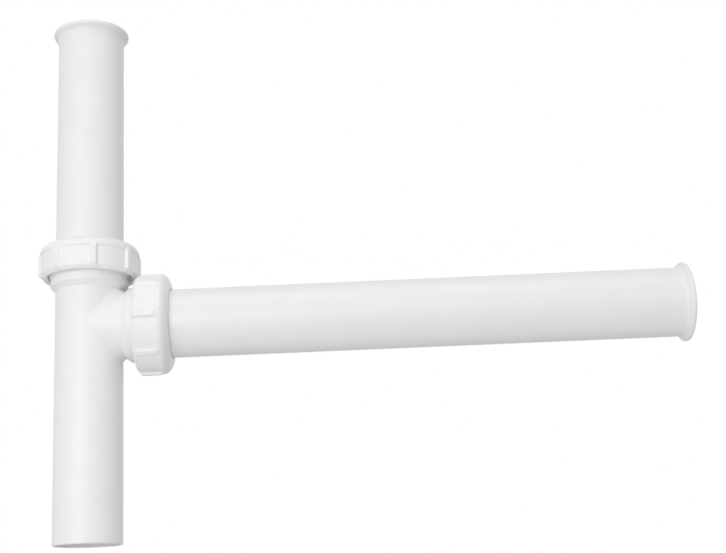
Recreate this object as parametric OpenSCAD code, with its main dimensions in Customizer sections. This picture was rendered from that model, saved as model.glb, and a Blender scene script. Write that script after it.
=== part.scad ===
// Waste arm kit for a sink disposer: a swept tee with a long outlet spigot, a flanged tailpiece
// standing in its top hub and a flanged arm lying in its side hub, each held by a slip nut
// over a tapered washer. Millimetres. +Z is up along the tee, +X runs along the arm.
// The origin is the centre of the outlet end of the tee.

/* [Tubes] */
// Outside diameter of the tailpiece and of the arm
tube_od = 38.1; // [30:0.1:50]
// Wall of the tailpiece and of the arm
tube_wall = 1.55; // [1:0.05:3]
// Length of the tailpiece over its flange
tailpiece_len = 152.4; // [90:0.1:400]
// Length of the arm over its flange
arm_len = 304.8; // [90:0.1:500]
// Width of the flange outside the tube, measured along a radius
flange_lip = 2.85; // [2:0.05:6]
// Thickness of the flange at its rim
flange_t = 3.1; // [2:0.05:5]

/* [Tee] */
// Outside diameter of the outlet spigot and of the straight run
spigot_od = 37.8; // [30:0.1:50]
// Outside diameter of the neck that leads to the side hub
neck_od = 37.5; // [30:0.1:49]
// Wall of the tee
tee_wall = 1.75; // [1.2:0.05:3]
// Height of the side branch axis above the outlet end
outlet_len = 119.5; // [60:0.5:250]
// Height of the branch axis above the upper end of the parallel spigot
spigot_stop = 27; // [26:0.5:40]
// Radius gained by the body of the tee from the spigot up to the top hub
body_draft = 0.06; // [0.02:0.01:0.2]
// Distance from the branch axis to the start of the top hub
top_shoulder = 19.6; // [19:0.1:40]
// Distance from the run axis to the start of the side hub
side_shoulder = 20.8; // [19:0.1:40]
// Diameter of the plain collar below the top thread
top_collar_od = 43.4; // [41.5:0.1:45]
// Diameter of the plain collar beside the side thread
side_collar_od = 41.7; // [41.5:0.1:45]
// Distance from the crossing of the axes to the mouth of each hub
hub_reach = 41; // [38:0.1:60]
// Depth of the socket from the hub mouth to the ledge that stops the tube
socket_depth = 14.6; // [10:0.1:18]
// Thickness of the baffle that turns the branch flow down the outlet
baffle_t = 1.8; // [1:0.1:3]
// Distance from the run axis to the near face of the baffle
baffle_offset = 2; // [0:0.1:6]
// Drop of the baffle below the branch bore
baffle_drop = 8; // [0:0.5:30]

/* [Slip nuts] */
// Height of each slip nut
nut_h = 19.4; // [17:0.1:26]
// Outside diameter of the shoulder ring of the nut
nut_od = 55.7; // [52:0.1:60]
// Depth of the panels between the ribs, below the shoulder ring
panel_depth = 0.5; // [0.2:0.05:1.5]
// Number of grip ribs
rib_count = 8; // [4:1:16]
// Height of a rib above the panels
rib_rise = 1.4; // [0.5:0.1:2.5]
// Width of a rib at its crest
rib_crest_w = 1.6; // [0.8:0.1:4]
// Width of a rib at its foot
rib_foot_w = 4.6; // [2:0.1:8]
// Height of the rounded shoulder of the nut
dome_h = 5.2; // [3:0.1:7]
// Turn of the upper nut about its axis
upper_nut_turn = 15; // [-45:1:45]
// Turn of the side nut about its axis
side_nut_turn = 0.5; // [-45:0.5:45]

/* [Thread and washer] */
// Diameter at the root of the hub thread
hub_root_od = 45.3; // [44:0.1:50]
// Diameter of the plain bore that carries the thread of the nut
nut_bore_d = 47; // [45:0.1:52]
// Thickness of the washer rim that the nut presses on
washer_rim_t = 2.2; // [1.5:0.1:4]
// Depth of the tapered part of the washer in the hub mouth
washer_taper_h = 4.4; // [2:0.1:7]
// Slope of the washer seat, as radius lost per millimetre of depth
seat_slope = 0.4; // [0.2:0.05:0.8]

/* [Clearances] */
// Radial clearance of a tube in its socket
socket_fit = 0.3; // [0.1:0.05:0.6]
// Radial clearance of a washer on its tube
washer_fit = 0.06; // [0.02:0.01:0.1]
// Gap between washer and nut, and between washer and seat
seat_gap = 0.1; // [0.05:0.05:0.3]
// Radial clearance of the nut mouth round its tube
mouth_fit = 0.4; // [0.2:0.05:0.8]

/* [Hidden] */
$fn = 96;

white = "#f4f4f2";
natural = "#e9e7df";
nothing = 0.01;
tube_r = tube_od / 2;
tube_bore_r = tube_r - tube_wall;
run_r = spigot_od / 2;
body_r = run_r + body_draft;
neck_r = neck_od / 2;
run_bore_r = run_r - tee_wall;
neck_bore_r = neck_r - tee_wall;
socket_r = tube_r + socket_fit;
hub_root_r = hub_root_od / 2;
nut_bore_r = nut_bore_d / 2;
nut_r = nut_od / 2;
panel_r = nut_r - panel_depth;
mouth_r = tube_r + mouth_fit;
edge = 0.5;

// Heights in a hub, measured from the crossing of the axes
ledge_z = hub_reach - socket_depth;
rim_under_z = hub_reach + seat_gap;
rim_top_z = rim_under_z + washer_rim_t;
thread_relief_z = hub_reach - 12.5;
collar_cone = 3;

// Heights in a nut, measured from its open end
panel_top = 13.2;
crest_low = 2.2;
crest_high = 12.3;
nut_end_r = panel_r - 1.5;
nut_ceiling = nut_h - 3.2;
washer_room_r = hub_root_r + 0.3;
thread_top = nut_ceiling - washer_rim_t - 0.6;
nut_seat_z = rim_top_z + seat_gap - nut_ceiling;

// Fillet between the run and the branch
FILLET_STEPS = 60;
ARC_STEPS = 7;
fillet_sink = 0.06;
fillet_root = 1.2;
fillet_min = 2.4;
fillet_upper = 6;
fillet_lower = 2.6;

// Ends of an arc that carries a rounded edge, as points of a profile
function arc(centre, r, from, to, n = 8) =
    [for (i = [0:n]) let (a = from + (to - from) * i / n) [centre[0] + r * cos(a), centre[1] + r * sin(a)]];

// Quarter of an ellipse, from the side of a nut to its mouth
function dome(outer, inner, base, h, n = 10) =
    [for (i = [0:n]) let (a = 90 * i / n) [inner + (outer - inner) * cos(a), base + h * sin(a)]];

// Radius of the fillet at the angle t round the branch, where 90 is the top
function fillet_r(t) =
    fillet_min + (sin(t) > 0 ? fillet_upper : fillet_lower) * pow(sin(2 * t), 2);

// Centre of a ball of radius r that rolls in the corner between run and branch
function ball(t, r) =
    let (y = (neck_r + r) * cos(t), z = (neck_r + r) * sin(t))
    [sqrt(pow(run_r + r, 2) - y * y), y, z];

// Where that ball touches the run and the branch, a little below their skin
function touch_run(c, r) =
    let (k = (run_r - fillet_sink) / (run_r + r)) [c[0] * k, c[1] * k, c[2]];
function touch_neck(c, r) =
    let (k = (neck_r - fillet_sink) / (neck_r + r)) [c[0], c[1] * k, c[2] * k];

// Point at the share s of the way from a to b round the ball at c
function on_ball(c, a, b, s) =
    let (u = a - c, v = b - c, w = acos(u * v / (norm(u) * norm(v))))
    c + u * (sin((1 - s) * w) / sin(w)) + v * (sin(s * w) / sin(w));

// Corner of the fillet that lies inside both walls
function fillet_corner(a, b) =
    let (k = (run_r - fillet_root) / norm([a[0], a[1]]), m = (neck_r - fillet_root) / norm([b[1], b[2]]))
    [a[0] * k, a[1] * k, b[2] * m];

// One section of the fillet: the arc, closed by the corner
function fillet_section(t) =
    let (r = fillet_r(t), c = ball(t, r), a = touch_run(c, r), b = touch_neck(c, r))
    concat([for (i = [0:ARC_STEPS]) on_ball(c, a, b, i / ARC_STEPS)], [fillet_corner(a, b)]);

module branch_fillet() {
    row = ARC_STEPS + 2;
    points = [for (i = [0:FILLET_STEPS - 1]) each fillet_section(360 * (i + 0.5) / FILLET_STEPS)];
    faces = [for (i = [0:FILLET_STEPS - 1], j = [0:row - 1])
        let (p = i * row, q = ((i + 1) % FILLET_STEPS) * row, k = (j + 1) % row)
        each [[p + j, p + k, q + k], [p + j, q + k, q + j]]];
    polyhedron(points = points, faces = faces);
}

// Outside of a hub, standing on the crossing of the axes
module hub_skin(start, start_r, collar_r) {
    rotate_extrude()
        polygon(concat(
            [[0, start], [start_r, start], [collar_r, start + collar_cone], [collar_r, thread_relief_z - 1]],
            [[hub_root_r, thread_relief_z], [hub_root_r, hub_reach - edge]],
            [[hub_root_r - edge, hub_reach], [0, hub_reach]]
        ));
}

// Inside of a hub: the through bore, the socket with its ledge and the tapered seat at the mouth
module hub_room(bore_r, from) {
    seat_r = socket_r + seat_slope * washer_taper_h + seat_gap;
    seat_low = hub_reach - (seat_r - socket_r) / seat_slope;
    rotate_extrude()
        polygon([
            [0, from], [bore_r, from], [bore_r, ledge_z], [socket_r, ledge_z],
            [socket_r, seat_low], [seat_r, hub_reach], [seat_r, hub_reach + 1], [0, hub_reach + 1]
        ]);
}

// Turns a piece that stands on the crossing of the axes so that it lies along the branch
module along_branch() {
    rotate([0, 90, 0]) children();
}

// Roof over the branch bore and the plate that hangs from it
module baffle() {
    roof_top = neck_bore_r + baffle_t;
    intersection() {
        cylinder(r = run_bore_r + tee_wall / 2, h = 4 * run_r, center = true);
        rotate([90, 0, 0])
            linear_extrude(height = 2 * run_r, center = true)
                polygon([
                    [baffle_offset, -neck_bore_r - baffle_drop],
                    [baffle_offset + baffle_t, -neck_bore_r - baffle_drop],
                    [baffle_offset + baffle_t, neck_bore_r - 3],
                    [baffle_offset + baffle_t + 3, neck_bore_r],
                    [run_r, neck_bore_r], [run_r, roof_top + 3],
                    [baffle_offset + 2, roof_top], [baffle_offset, roof_top - 2]
                ]);
    }
}

// The moulded tee, one piece
module tee() {
    color(white) translate([0, 0, outlet_len]) {
        difference() {
            union() {
                rotate_extrude()
                    polygon([
                        [0, -outlet_len], [run_r - edge, -outlet_len], [run_r, edge - outlet_len],
                        [run_r, -spigot_stop], [body_r, top_shoulder], [0, top_shoulder]
                    ]);
                hub_skin(top_shoulder, body_r, top_collar_od / 2);
                along_branch() hub_skin(side_shoulder, neck_r, side_collar_od / 2);
                along_branch() cylinder(r = neck_r, h = side_shoulder);
                branch_fillet();
            }
            hub_room(run_bore_r, -outlet_len - 1);
            along_branch() hub_room(neck_bore_r, 0);
        }
        baffle();
    }
}

// A tube with a turned-out flange, standing on its plain end
module flanged_tube(length) {
    round_r = flange_t / 2 - 0.1;
    flange_r = tube_r + flange_lip;
    rim = [flange_r - round_r, length - round_r];
    under = length - flange_t;
    blend = 2.1;
    rotate_extrude()
        polygon(concat(
            [[tube_bore_r, 0], [tube_r - edge / 2, 0], [tube_r, edge / 2], [tube_r, under - blend]],
            arc([tube_r + blend, under - blend], blend, 180, 115, 6),
            arc(rim, round_r, -80, 90, 10),
            [[tube_bore_r + edge, length], [tube_bore_r, length - edge]]
        ));
}

// Lifts a piece from the ledge of the top hub
module in_top_hub(z) {
    translate([0, 0, outlet_len + z]) children();
}

// Lays a piece along the branch, from a distance along the axis of the side hub
module in_side_hub(x) {
    translate([x, 0, outlet_len]) along_branch() children();
}

// Flanged tailpiece that hangs below the strainer of the other bowl
module tailpiece() {
    color(white) in_top_hub(ledge_z) flanged_tube(tailpiece_len);
}

// Flanged arm that bolts to the outlet of the disposer
module arm() {
    color(white) in_side_hub(ledge_z) flanged_tube(arm_len);
}

// Tapered slip washer, with its rim towards the nut
module slip_washer() {
    inner = tube_r + washer_fit;
    taper_r = socket_r + seat_slope * washer_taper_h;
    rotate_extrude()
        polygon([
            [inner, rim_under_z - washer_taper_h], [socket_r, rim_under_z - washer_taper_h],
            [taper_r, rim_under_z], [hub_root_r - edge, rim_under_z],
            [hub_root_r - edge, rim_top_z], [inner, rim_top_z]
        ]);
}

module upper_washer() {
    color(natural) in_top_hub(0) slip_washer();
}

module side_washer() {
    color(natural) in_side_hub(0) slip_washer();
}

// Outline of one rib across the nut, with sloping sides
module rib_section(crest) {
    polygon([
        [panel_r - 2, -rib_foot_w / 2], [panel_r - 0.2, -rib_foot_w / 2], [crest, -rib_crest_w / 2],
        [crest, rib_crest_w / 2], [panel_r - 0.2, rib_foot_w / 2], [panel_r - 2, rib_foot_w / 2]
    ]);
}

// Ribs all round, cut off by a turned envelope that slopes at both ends
module ribs() {
    crest = panel_r + rib_rise;
    intersection() {
        for (i = [0:rib_count - 1])
            rotate([0, 0, 360 * i / rib_count])
                linear_extrude(height = nut_h) rib_section(crest + 0.5);
        rotate_extrude()
            polygon([
                [panel_r - 3, 0], [nut_end_r + 0.2, 0], [crest, crest_low],
                [crest, crest_high], [nut_r - 0.1, crest_high + 2.4], [panel_r - 3, crest_high + 2.4]
            ]);
    }
}

// A slip nut, standing on its open end
module slip_nut() {
    difference() {
        union() {
            rotate_extrude()
                polygon(concat(
                    [[mouth_r, 0], [nut_end_r, 0], [panel_r, 1.8], [panel_r, panel_top - 0.4]],
                    [[nut_r, panel_top], [nut_r, nut_h - dome_h]],
                    dome(nut_r, mouth_r, nut_h - dome_h, dome_h)
                ));
            ribs();
        }
        rotate_extrude()
            polygon([
                [0, -1], [nut_bore_r + 1.5, -1], [nut_bore_r + 1, 0], [nut_bore_r, 1],
                [nut_bore_r, thread_top], [washer_room_r, thread_top + 0.6],
                [washer_room_r, nut_ceiling], [mouth_r, nut_ceiling], [mouth_r, nut_h + 1], [0, nut_h + 1]
            ]);
    }
}

module upper_nut() {
    color(white) in_top_hub(nut_seat_z) rotate([0, 0, upper_nut_turn]) slip_nut();
}

module side_nut() {
    color(white) in_side_hub(nut_seat_z) rotate([0, 0, side_nut_turn]) slip_nut();
}

tee();
tailpiece();
upper_washer();
upper_nut();
arm();
side_washer();
side_nut();
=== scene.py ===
"""Looks of a disposer waste arm: a swept tee, a flanged tailpiece, a flanged arm and two slip nuts.

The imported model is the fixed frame. This script dresses its parts as moulded polypropylene and
polyethylene, adds the slip-joint threads that the solids leave out, and sets up a plain studio
with a camera at the photograph's viewing angle. All lengths are metres unless a name says
otherwise. The frame has +Z up along the tee, +X along the arm, and its origin at the centre of
the outlet end.
"""

import logging
import math
from dataclasses import dataclass, field
from enum import Enum

import bpy
from mathutils import Matrix, Vector


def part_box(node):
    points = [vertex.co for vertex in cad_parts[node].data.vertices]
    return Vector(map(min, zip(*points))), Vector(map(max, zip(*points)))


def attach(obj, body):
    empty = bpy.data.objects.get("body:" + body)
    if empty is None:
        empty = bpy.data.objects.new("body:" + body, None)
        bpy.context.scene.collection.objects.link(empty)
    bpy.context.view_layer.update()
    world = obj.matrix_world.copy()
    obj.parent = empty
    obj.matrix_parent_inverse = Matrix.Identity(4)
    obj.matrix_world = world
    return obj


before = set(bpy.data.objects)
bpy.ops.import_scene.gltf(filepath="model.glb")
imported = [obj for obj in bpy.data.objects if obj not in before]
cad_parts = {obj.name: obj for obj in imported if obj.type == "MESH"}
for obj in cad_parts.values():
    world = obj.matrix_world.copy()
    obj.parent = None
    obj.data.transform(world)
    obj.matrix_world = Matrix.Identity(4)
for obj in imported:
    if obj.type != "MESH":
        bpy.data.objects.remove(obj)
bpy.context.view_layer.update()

LOG = logging.getLogger("waste_arm")
MM = 0.001
PHOTO_WIDTH_PX = 726
PHOTO_HEIGHT_PX = 553


def linear(hex_colour: str) -> tuple[float, float, float, float]:
    """Turns an sRGB hex colour into the linear colour that a shader socket takes.

    Args:
        hex_colour: The colour as six hex digits after a hash sign.

    Returns:
        Linear red, green, blue and an alpha of 1.
    """
    channels = []
    for start in (1, 3, 5):
        value = int(hex_colour[start:start + 2], 16) / 255
        channels.append(value / 12.92 if value <= 0.04045 else ((value + 0.055) / 1.055) ** 2.4)
    return channels[0], channels[1], channels[2], 1.0


def add_node(
    tree: bpy.types.NodeTree,
    kind: str,
    settings: dict[str, object] | None = None,
    **sockets: object,
) -> bpy.types.Node:
    """Adds a node, sets its properties and fills or links its inputs.

    Args:
        tree: The node tree that gets the node.
        kind: Blender's name for the type of node.
        settings: Properties of the node, by name.
        **sockets: Inputs by name, with an underscore for a space and in_N for input number N.
            A value that is an output socket is linked, and any other value is set.

    Returns:
        The new node.
    """
    node = tree.nodes.new(kind)
    for name, value in (settings or {}).items():
        setattr(node, name, value)
    for name, value in sockets.items():
        key = int(name[3:]) if name.startswith("in_") else name.replace("_", " ")
        socket = node.inputs[key]
        if isinstance(value, bpy.types.NodeSocket):
            tree.links.new(value, socket)
        else:
            socket.default_value = value
    return node


class Wall(Enum):
    """Side of a round wall on which a thread stands."""

    OUTSIDE = 1
    INSIDE = -1


class Lie(Enum):
    """Direction in which a hub and its nut point."""

    UP = "up"
    ALONG_ARM = "along the arm"

    def matrix(self, crossing: Vector) -> Matrix:
        """Gives the placing of a piece that is modelled with its axis on +Z.

        Args:
            crossing: Where the axes of the tee cross.

        Returns:
            The matrix from the hub's own frame to the part's frame.
        """
        turn = Matrix.Identity(4) if self is Lie.UP else Matrix.Rotation(math.radians(90), 4, "Y")
        return Matrix.Translation(crossing) @ turn


@dataclass(frozen=True)
class MouldedPlastic:
    """A moulded thermoplastic with clouded pigment, a satin mould texture and faint flow marks.

    Attributes:
        name: Name of the material.
        slot: Material slot of the record that it dresses.
        pale: Colour where the pigment is thickest.
        dull: Colour in the clouds between.
        roughness: Roughness of the satin surface.
        ior: Index of refraction.
        cloud_mm: Size of the clouds in the pigment.
        grain_mm: Size of the grain that the mould's spark-eroded face leaves.
        grain_depth_mm: Depth of that grain.
        sink_mm: Length of the slow waves that shrinkage leaves.
        sink_depth_mm: Depth of those waves.
        edge_mm: Radius of the soft moulded edges.
    """

    name: str
    slot: str
    pale: str
    dull: str
    roughness: float
    ior: float
    cloud_mm: float
    grain_mm: float
    grain_depth_mm: float
    sink_mm: float
    sink_depth_mm: float
    edge_mm: float

    def noise(self, tree: bpy.types.NodeTree, size_mm: float, detail: float) -> bpy.types.NodeSocket:
        """Adds noise whose patches have a real size.

        Args:
            tree: The node tree of the material.
            size_mm: Size of one patch.
            detail: Number of finer octaves.

        Returns:
            The output with the noise's value.
        """
        place = add_node(tree, "ShaderNodeTexCoord").outputs["Object"]
        node = add_node(
            tree, "ShaderNodeTexNoise", {"noise_dimensions": "3D"},
            Vector=place, Scale=1 / (size_mm * MM), Detail=detail, Roughness=0.5,
        )
        return node.outputs[0]

    def build(self) -> bpy.types.Material:
        """Makes the material.

        Returns:
            The finished material.
        """
        material = bpy.data.materials.new(self.name)
        material.use_nodes = True
        tree = material.node_tree
        tree.nodes.clear()
        cloud = self.noise(tree, self.cloud_mm, 3.0)
        grain = self.noise(tree, self.grain_mm, 2.0)
        sink = self.noise(tree, self.sink_mm, 1.0)
        colour = add_node(
            tree, "ShaderNodeMix", {"data_type": "RGBA"},
            in_0=cloud, in_6=linear(self.dull), in_7=linear(self.pale),
        )
        gloss = add_node(
            tree, "ShaderNodeMapRange", None,
            Value=cloud, From_Min=0.3, From_Max=0.7,
            To_Min=self.roughness - 0.05, To_Max=self.roughness + 0.05,
        )
        edge = add_node(tree, "ShaderNodeBevel", {"samples": 6}, Radius=self.edge_mm * MM)
        waves = add_node(
            tree, "ShaderNodeBump", None,
            Strength=1.0, Distance=self.sink_depth_mm * MM, Height=sink, Normal=edge.outputs[0],
        )
        skin = add_node(
            tree, "ShaderNodeBump", None,
            Strength=1.0, Distance=self.grain_depth_mm * MM, Height=grain, Normal=waves.outputs[0],
        )
        shader = add_node(
            tree, "ShaderNodeBsdfPrincipled", None,
            Base_Color=colour.outputs[2], Roughness=gloss.outputs[0], IOR=self.ior,
            Normal=skin.outputs[0],
        )
        add_node(tree, "ShaderNodeOutputMaterial", None, Surface=shader.outputs[0])
        return material


# White polypropylene, injection moulded: a satin, faintly clouded white with soft edges
TEE_PLASTIC = MouldedPlastic(
    name="moulded_polypropylene_tee", slot="tee_polypropylene", pale="#f7f7f6", dull="#efefee",
    roughness=0.42, ior=1.49, cloud_mm=14, grain_mm=0.7, grain_depth_mm=0.006,
    sink_mm=18, sink_depth_mm=0.05, edge_mm=0.35,
)
# The same polypropylene on a long polished core: a little smoother and more even
TUBE_PLASTIC = MouldedPlastic(
    name="moulded_polypropylene_tube", slot="tube_polypropylene", pale="#f4f4f4", dull="#eeeeee",
    roughness=0.4, ior=1.49, cloud_mm=20, grain_mm=0.6, grain_depth_mm=0.004,
    sink_mm=26, sink_depth_mm=0.04, edge_mm=0.35,
)
# Nuts come from a mould of their own, with a whiter pigment and crisper grain
NUT_PLASTIC = MouldedPlastic(
    name="moulded_polypropylene_nut", slot="nut_polypropylene", pale="#f9f9f8", dull="#f1f1f0",
    roughness=0.42, ior=1.49, cloud_mm=10, grain_mm=0.7, grain_depth_mm=0.006,
    sink_mm=12, sink_depth_mm=0.03, edge_mm=0.3,
)
# Natural polyethylene, moulded: waxy, cream and softer than the nut that presses on it
WASHER_PLASTIC = MouldedPlastic(
    name="moulded_polyethylene_washer", slot="washer_polyethylene", pale="#eae7dc", dull="#dedacb",
    roughness=0.5, ior=1.51, cloud_mm=6, grain_mm=0.5, grain_depth_mm=0.008,
    sink_mm=9, sink_depth_mm=0.03, edge_mm=0.25,
)


@dataclass(frozen=True)
class PaintedBoard:
    """Matt white studio board, which shows white to the camera and keeps a soft shadow.

    Attributes:
        name: Name of the material.
        tone: Colour of the board.
        grain_mm: Size of the roller marks in its paint.
    """

    name: str = "painted_studio_board"
    tone: str = "#f0f0f0"
    grain_mm: float = 4

    def build(self) -> bpy.types.Material:
        """Makes the material.

        Returns:
            The finished material.
        """
        material = bpy.data.materials.new(self.name)
        material.use_nodes = True
        tree = material.node_tree
        shader = tree.nodes["Principled BSDF"]
        shader.inputs["Base Color"].default_value = linear(self.tone)
        shader.inputs["Roughness"].default_value = 0.9
        place = add_node(tree, "ShaderNodeTexCoord").outputs["Object"]
        marks = add_node(tree, "ShaderNodeTexNoise", None, Vector=place, Scale=1 / (self.grain_mm * MM))
        bump = add_node(
            tree, "ShaderNodeBump", None, Strength=0.2, Distance=0.05 * MM, Height=marks.outputs[0]
        )
        tree.links.new(bump.outputs[0], shader.inputs["Normal"])
        return material


@dataclass
class SlipJoint:
    """Sizes that a hub, its nut and its washer share. Heights run from the crossing of the axes.

    Attributes:
        crossing: Where the axes of the tee cross.
        hub_reach_mm: Height of the hub's mouth.
        hub_root_mm: Radius at the root of the hub's thread.
        nut_bore_mm: Radius of the nut's bore, from which its thread stands.
        nut_seat_mm: Height of the nut's open end.
        thread_start_mm: Height at which the hub's thread starts.
        nut_thread_mm: Length of the thread in the nut.
        pitch_mm: Rise of the thread in one turn, 11.5 turns to the inch.
        ridge_mm: Height of a thread ridge.
        root_width_mm: Width of a ridge at its root.
        crest_width_mm: Width of a ridge at its crest.
    """

    crossing: Vector
    hub_reach_mm: float = 41.0
    hub_root_mm: float = 22.65
    nut_bore_mm: float = 23.5
    nut_seat_mm: float = 27.2
    thread_start_mm: float = 29.4
    nut_thread_mm: float = 12.2
    pitch_mm: float = 25.4 / 11.5
    ridge_mm: float = 0.72
    root_width_mm: float = 1.15
    crest_width_mm: float = 0.4


@dataclass
class Thread:
    """One helical ridge on a round wall.

    Attributes:
        name: Name of the piece.
        wall_mm: Radius of the wall that carries it.
        side: Side of the wall on which it stands.
        start_mm: Height of its lower end.
        length_mm: Height that it climbs.
        joint: The slip joint it belongs to.
        lag: Share of a pitch by which it stands above the zero of the helix.
    """

    name: str
    wall_mm: float
    side: Wall
    start_mm: float
    length_mm: float
    joint: SlipJoint
    lag: float
    steps: int = 72
    runout: float = 0.35
    sink_mm: float = 0.12

    def section(self, rise: float) -> list[tuple[float, float]]:
        """Gives the ridge's section.

        Args:
            rise: Share of the full height, from 0 to 1.

        Returns:
            Pairs of a distance from the wall and a height, in millimetres.
        """
        half_root = self.joint.root_width_mm / 2
        half_crest = self.joint.crest_width_mm / 2 + (1 - rise) * 0.3
        top = self.joint.ridge_mm * rise
        return [(-self.sink_mm, -half_root), (top, -half_crest), (top, half_crest), (-self.sink_mm, half_root)]

    def build(self, lie: Lie) -> bpy.types.Object:
        """Makes the ridge.

        Args:
            lie: Direction in which the hub points.

        Returns:
            The new object, in the part's frame.
        """
        pitch = self.joint.pitch_mm
        turns = self.length_mm / pitch
        count = round(turns * self.steps)
        vertices = []
        for i in range(count + 1):
            turn = i / self.steps
            rise = min(1.0, turn / self.runout, (turns - turn) / self.runout)
            height = self.start_mm + turn * pitch
            angle = 2 * math.pi * (height / pitch - self.lag)
            for out, up in self.section(max(rise, 0.04)):
                radius = self.wall_mm + self.side.value * out
                vertices.append(
                    (radius * math.cos(angle) * MM, radius * math.sin(angle) * MM, (height + up) * MM)
                )
        faces = []
        for i in range(count):
            for j in range(4):
                a, b = 4 * i + j, 4 * i + (j + 1) % 4
                face = (a, b, b + 4, a + 4)
                faces.append(face if self.side is Wall.OUTSIDE else face[::-1])
        last = 4 * count
        caps = [(3, 2, 1, 0), (last, last + 1, last + 2, last + 3)]
        faces += caps if self.side is Wall.OUTSIDE else [cap[::-1] for cap in caps]
        mesh = bpy.data.meshes.new(self.name)
        mesh.from_pydata(vertices, [], faces)
        mesh.validate()
        thread = bpy.data.objects.new(self.name, mesh)
        bpy.context.scene.collection.objects.link(thread)
        mesh.transform(lie.matrix(self.joint.crossing))
        return thread


def dress(node: str, material: bpy.types.Material) -> None:
    """Gives a part of the frame its finished material.

    Args:
        node: Name of the part.
        material: The material that fills its slots.
    """
    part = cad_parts[node]
    if not part.material_slots:
        part.data.materials.append(material)
    for slot in part.material_slots:
        slot.material = material
    LOG.info("%s: %d faces in %s", node, len(part.data.polygons), material.name)


def add_piece(piece: bpy.types.Object, body: str, material: bpy.types.Material) -> None:
    """Gives a new piece its material and lets it ride on a body.

    Args:
        piece: The new object.
        body: The body that carries it.
        material: The material made from that finish.
    """
    piece.data.materials.append(material)
    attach(piece, body)
    LOG.info("%s: %d faces on %s", piece.name, len(piece.data.polygons), body)


@dataclass
class SweptTee:
    """The moulded tee with the threads of its two hubs."""

    joint: SlipJoint
    finish: MouldedPlastic = TEE_PLASTIC

    def build(self) -> None:
        """Dresses the tee and cuts a thread on each hub."""
        material = self.finish.build()
        dress("tee", material)
        length = self.joint.hub_reach_mm - 1.2 - self.joint.thread_start_mm
        for name, lie in (("top_hub_thread", Lie.UP), ("side_hub_thread", Lie.ALONG_ARM)):
            thread = Thread(
                name, self.joint.hub_root_mm, Wall.OUTSIDE, self.joint.thread_start_mm, length, self.joint, 0.0
            )
            add_piece(thread.build(lie), "tee", material)


@dataclass
class FlangedTubes:
    """The tailpiece and the arm, moulded alike."""

    finish: MouldedPlastic = TUBE_PLASTIC

    def build(self) -> None:
        """Dresses both tubes."""
        material = self.finish.build()
        dress("tailpiece", material)
        dress("arm", material)


@dataclass
class SlipNuts:
    """Both slip nuts with the threads in their bores."""

    joint: SlipJoint
    finish: MouldedPlastic = NUT_PLASTIC

    def build(self) -> None:
        """Dresses the nuts and cuts their threads, half a pitch above those of the hubs."""
        material = self.finish.build()
        start = self.joint.nut_seat_mm + 1.4
        length = self.joint.nut_thread_mm - 1.6
        for nut, lie in (("upper_nut", Lie.UP), ("side_nut", Lie.ALONG_ARM)):
            dress(nut, material)
            thread = Thread(
                nut + "_thread", self.joint.nut_bore_mm, Wall.INSIDE, start, length, self.joint, 0.5
            )
            add_piece(thread.build(lie), nut, material)


@dataclass
class SlipWashers:
    """The two tapered washers."""

    finish: MouldedPlastic = WASHER_PLASTIC

    def build(self) -> None:
        """Dresses both washers."""
        material = self.finish.build()
        dress("upper_washer", material)
        dress("side_washer", material)


@dataclass(frozen=True)
class Camera:
    """Camera at the photograph's viewing angle. Its place is fitted to the edges of the tubes.

    Attributes:
        focal_px: Focal length in pixels of the photograph.
        pitch_deg: Tilt about the camera's right axis.
        yaw_deg: Turn about the vertical.
        roll_deg: Turn about the line of sight.
        offset_mm: Crossing of the tee's axes as the camera sees it: right, down and ahead.
        centre_px: Where the line of sight meets the photograph.
        sensor_mm: Width of Blender's sensor.
    """

    focal_px: float = 1233.5
    pitch_deg: float = -15.51
    yaw_deg: float = 1.40
    roll_deg: float = -2.13
    offset_mm: tuple[float, float, float] = (-112.4, 29.9, 689.3)
    centre_px: tuple[float, float] = (290.5, 273.7)
    sensor_mm: float = 36.0

    def build(self, crossing: Vector) -> None:
        """Makes the camera and gives it to the scene.

        Args:
            crossing: Where the axes of the tee cross.
        """
        roll = Matrix.Rotation(math.radians(self.roll_deg), 3, "Z")
        pitch = Matrix.Rotation(math.radians(self.pitch_deg), 3, "X")
        yaw = Matrix.Rotation(math.radians(self.yaw_deg), 3, "Y")
        rest = Matrix(((1, 0, 0), (0, 0, -1), (0, 1, 0)))
        turn = roll @ pitch @ yaw @ rest
        place = crossing - turn.transposed() @ Vector(self.offset_mm) * MM
        axes = Matrix((turn[0], -turn[1], -turn[2])).transposed().to_4x4()
        data = bpy.data.cameras.new("camera")
        data.sensor_fit = "HORIZONTAL"
        data.sensor_width = self.sensor_mm
        data.lens = self.focal_px * self.sensor_mm / PHOTO_WIDTH_PX
        data.shift_x = (PHOTO_WIDTH_PX / 2 - self.centre_px[0]) / PHOTO_WIDTH_PX
        data.shift_y = (self.centre_px[1] - PHOTO_HEIGHT_PX / 2) / PHOTO_WIDTH_PX
        data.clip_start = 0.01
        camera = bpy.data.objects.new("camera", data)
        camera.matrix_world = Matrix.Translation(place) @ axes
        bpy.context.scene.collection.objects.link(camera)
        bpy.context.scene.camera = camera
        LOG.info("camera at %s", [round(value, 4) for value in place])


@dataclass(frozen=True)
class SoftBox:
    """A square area lamp that looks at the middle of the part.

    Attributes:
        name: Name of the lamp.
        place: Where it stands.
        side: Length of its side.
        watts: Its power.
    """

    name: str
    place: tuple[float, float, float]
    side: float
    watts: float

    def build(self, target: Vector) -> None:
        """Makes the lamp.

        Args:
            target: The point that it looks at.
        """
        data = bpy.data.lights.new(self.name, "AREA")
        data.shape = "SQUARE"
        data.size = self.side
        data.energy = self.watts
        lamp = bpy.data.objects.new(self.name, data)
        lamp.location = self.place
        lamp.rotation_euler = (target - Vector(self.place)).to_track_quat("-Z", "Y").to_euler()
        bpy.context.scene.collection.objects.link(lamp)


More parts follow.
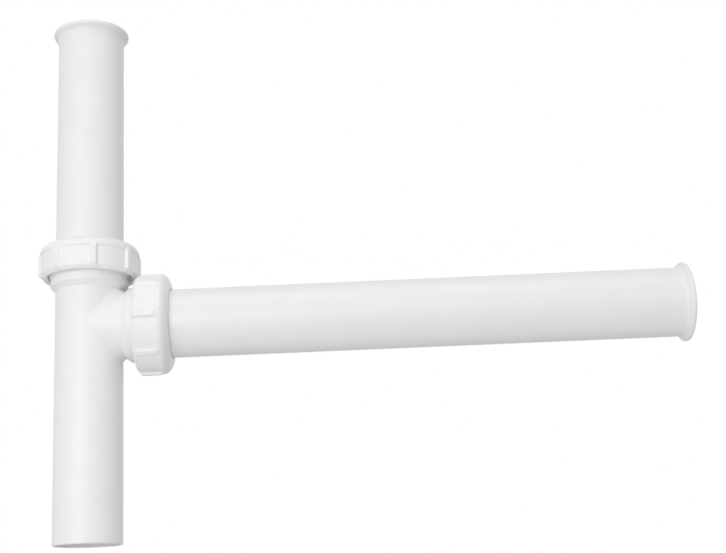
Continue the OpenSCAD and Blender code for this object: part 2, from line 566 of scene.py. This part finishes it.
@dataclass
class Studio:
    """Plain pale studio: a floor well below the part, an even surround and soft boxes.

    Attributes:
        surround: Level of the light that comes from all round.
        floor_drop: Depth of the floor below the outlet end.
        boxes: The lamps.
    """

    surround: float = 0.5
    floor_drop: float = 0.30
    floor_half: float = 4.0
    boxes: list[SoftBox] = field(default_factory=lambda: [
        SoftBox("key_box", (-0.5, -1.6, 0.0), 1.2, 14.0),
        SoftBox("top_box", (0.3, -0.6, 1.6), 1.0, 5.0),
    ])

    def build(self, target: Vector) -> None:
        """Makes the floor, the surround and the lamps.

        Args:
            target: The point that the lamps look at.
        """
        self.lay_floor()
        self.light_surround()
        for box in self.boxes:
            box.build(target)
        bpy.context.scene.view_settings.view_transform = "Standard"

    def lay_floor(self) -> None:
        """Lays a large square floor below the part."""
        half = self.floor_half
        mesh = bpy.data.meshes.new("floor")
        corners = [(-half, -half, 0), (half, -half, 0), (half, half, 0), (-half, half, 0)]
        mesh.from_pydata([(x, y, -self.floor_drop) for x, y, _ in corners], [], [(0, 1, 2, 3)])
        mesh.materials.append(PaintedBoard().build())
        floor = bpy.data.objects.new("floor", mesh)
        bpy.context.scene.collection.objects.link(floor)

    def light_surround(self) -> None:
        """Makes a surround that shows white and lights the part at a plain level."""
        world = bpy.data.worlds.new("surround")
        world.use_nodes = True
        tree = world.node_tree
        tree.nodes.clear()
        path = add_node(tree, "ShaderNodeLightPath").outputs
        seen = add_node(
            tree, "ShaderNodeMath", {"operation": "MAXIMUM"},
            in_0=path["Is Camera Ray"], in_1=path["Is Glossy Ray"],
        )
        shown = add_node(
            tree, "ShaderNodeMath", {"operation": "MAXIMUM"},
            in_0=seen.outputs[0], in_1=path["Is Transmission Ray"],
        )
        light = add_node(tree, "ShaderNodeBackground", None, Color=linear("#ffffff"), Strength=self.surround)
        white = add_node(tree, "ShaderNodeBackground", None, Color=linear("#ffffff"), Strength=1.0)
        mix = add_node(
            tree, "ShaderNodeMixShader", None,
            in_0=shown.outputs[0], in_1=light.outputs[0], in_2=white.outputs[0],
        )
        add_node(tree, "ShaderNodeOutputWorld", None, Surface=mix.outputs[0])
        bpy.context.scene.world = world


def main() -> None:
    """Builds every piece, the camera and the studio."""
    logging.basicConfig(level=logging.INFO, format="%(name)s: %(message)s")
    low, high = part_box("arm")
    crossing = Vector((0, 0, (low.z + high.z) / 2))
    joint = SlipJoint(crossing)
    SweptTee(joint).build()
    FlangedTubes().build()
    SlipNuts(joint).build()
    SlipWashers().build()
    Camera().build(crossing)
    Studio().build(Vector((0.1, 0.0, 0.12)))


if __name__ == "__main__":
    main()
